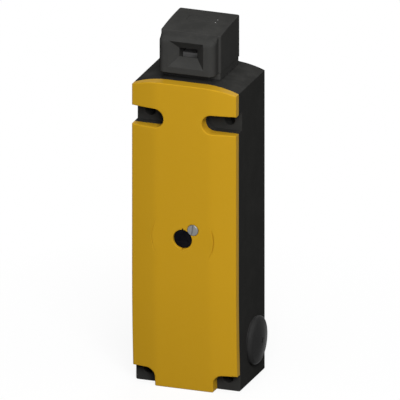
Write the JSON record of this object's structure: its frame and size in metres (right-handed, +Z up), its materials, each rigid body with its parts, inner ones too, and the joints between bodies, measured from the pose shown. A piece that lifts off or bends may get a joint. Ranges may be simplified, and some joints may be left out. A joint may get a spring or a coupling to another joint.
{
  "type": "tongue interlock switch",
  "caption": "Guard-locking tongue interlock switch: a tall black body with a yellow front cover, an actuating head with a tongue entry, an auxiliary release and plugged cable entries.",
  "frame": {"origin": "middle of the footprint, on the plane of the lower end face", "axes": "+Z up from the cable end to the actuating head, +Y to the mounting face at the back, -Y to the yellow cover, +X to the right as the cover is looked at"},
  "size_m": [0.0628, 0.0434, 0.1834],
  "materials": {
    "black_housing": "fine-textured moulding",
    "black_head": "fine-textured moulding",
    "yellow_cover": "satin moulding",
    "gloss_plug": "glossy moulding",
    "black_release": "moulded",
    "seal_rubber": "nitrile",
    "screw_steel": "zinc plated",
    "turned_steel": "bright turned",
    "frame_steel": "zinc plated sheet",
    "soft_iron": "blacked iron",
    "cam_zinc": "die cast, tumbled",
    "spring_wire": "drawn wire",
    "guide_brass": "turned",
    "contact_silver": "silver plated brass",
    "coil_wire": "enamelled wire",
    "natural_nylon": "natural moulding",
    "red_nylon": "coloured moulding",
    "grey_nylon": "glass-filled moulding"
  },
  "bodies": {
    "body": {"housing": "black_housing", "front_cover": "yellow_cover", "cover_gasket": "seal_rubber", "cover_screw": "screw_steel", "head_housing": "black_head", "head_nose": "black_head", "head_base": "black_head", "head_gasket": "seal_rubber", "head_screws": "screw_steel", "top_slot_plug": "black_head", "cam_axle": "turned_steel", "plunger_guide": "guide_brass", "plunger_seal": "seal_rubber", "plunger_spring": "spring_wire", "mechanism_frame": "frame_steel", "frame_screws": "screw_steel", "solenoid_yoke": "soft_iron", "solenoid_bobbin": "natural_nylon", "solenoid_coil": "coil_wire", "solenoid_core": "soft_iron", "armature_spring": "spring_wire", "carriage_guide": "frame_steel", "carriage_spring": "spring_wire", "release_seal": "seal_rubber", "tongue_contact_housing": "grey_nylon", "tongue_contact_bars": "contact_silver", "tongue_contact_spring": "spring_wire", "lock_contact_housing": "grey_nylon", "lock_contact_bars": "contact_silver", "lock_contact_spring": "spring_wire", "terminal_block": "grey_nylon", "terminal_clamps": "contact_silver", "terminal_screws": "screw_steel", "right_plug": "gloss_plug", "left_plug": "gloss_plug", "plug_seals": "seal_rubber"},
    "cam": {"cam_wheel": "cam_zinc"},
    "plunger": {"plunger": "turned_steel", "plunger_clip": "spring_wire", "plunger_arm": "red_nylon", "tongue_contact_carrier": "red_nylon", "tongue_contact_bridge": "contact_silver"},
    "armature": {"armature": "turned_steel", "armature_link": "natural_nylon", "lock_contact_carrier": "natural_nylon", "lock_contact_bridge": "contact_silver"},
    "lock_plate": {"lock_plate": "turned_steel"},
    "carriage": {"release_carriage": "grey_nylon"},
    "release": {"release_actuator": "black_release", "release_cam": "cam_zinc"}
  },
  "joints": [
    {"name": "cam_turn", "type": "hinge", "parent": "body", "child": "cam", "pos_m": [0, 0.00275, 0.1685], "axis": [-1, 0, 0], "range_deg": [0, 60]},
    {"name": "plunger_travel", "type": "slide", "parent": "body", "child": "plunger", "axis": [0, 0, 1], "range_m": [0, 0.003], "deforming": ["plunger_spring", "tongue_contact_spring"]},
    {"name": "armature_travel", "type": "slide", "parent": "body", "child": "armature", "axis": [-1, 0, 0], "range_m": [0, 0.005], "stiffness_N_per_m": 120, "springref_m": -0.003, "deforming": ["armature_spring", "lock_contact_spring"]},
    {"name": "release_turn", "type": "hinge", "parent": "body", "child": "release", "pos_m": [0, -0.0218, 0.0784], "axis": [0, 1, 0], "range_deg": [0, 90]},
    {"name": "carriage_drop", "type": "slide", "parent": "body", "child": "carriage", "axis": [0, 0, -1], "range_m": [0, 0.003], "stiffness_N_per_m": 60, "springref_m": -0.003, "deforming": ["carriage_spring"]},
    {"name": "lock_plate_travel", "type": "slide", "parent": "carriage", "child": "lock_plate", "axis": [-1, 0, 0], "range_m": [0, 0.005]}
  ],
  "couplings": [
    {"joint": "cam_turn", "follows": "plunger_travel", "rad_per_m": 349.06},
    {"joint": "release_turn", "follows": "carriage_drop", "rad_per_m": 523.59},
    {"joint": "lock_plate_travel", "follows": "armature_travel", "ratio": 1}
  ]
}
